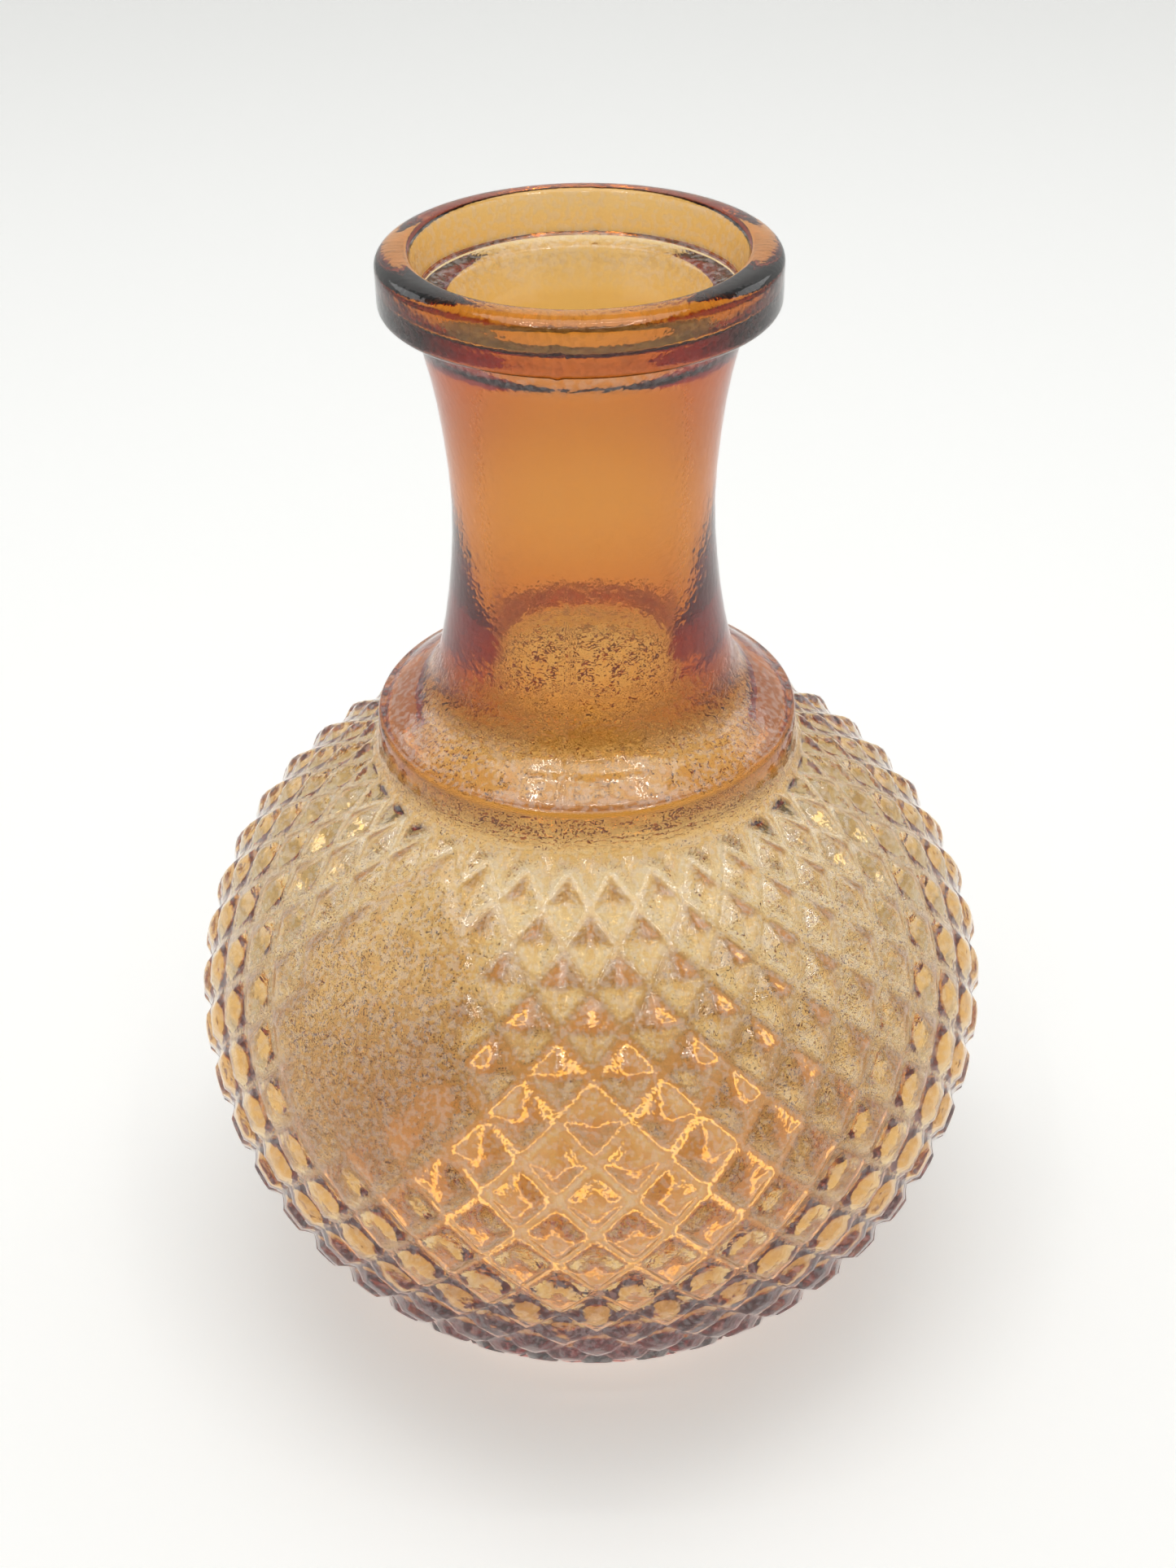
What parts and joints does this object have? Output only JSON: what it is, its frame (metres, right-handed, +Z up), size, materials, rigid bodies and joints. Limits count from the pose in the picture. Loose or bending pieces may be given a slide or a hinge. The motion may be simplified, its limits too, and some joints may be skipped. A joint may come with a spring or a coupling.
{
  "type": "bud vase",
  "caption": "Bottle-shaped bud vase in amber glass: a globe pressed all over with diamonds, a flat collar on its shoulder, a waisted neck and a banded mouth.",
  "frame": {"origin": "middle of the foot, on the surface that the vase stands on", "axes": "+Z up along the vase's axis of revolution; +X and +Y are alike, and a column of diamonds is centred on +X"},
  "size_m": [0.11, 0.11, 0.155],
  "materials": {
    "amber_glass": "fire-polished, pressed"
  },
  "bodies": {
    "root": {"base_disc": "amber_glass", "globe_heel": "amber_glass", "globe_belly": "amber_glass", "globe_shoulder": "amber_glass", "collar_ring": "amber_glass", "neck_root": "amber_glass", "neck_tube": "amber_glass", "lip_band": "amber_glass"}
  },
  "joints": []
}
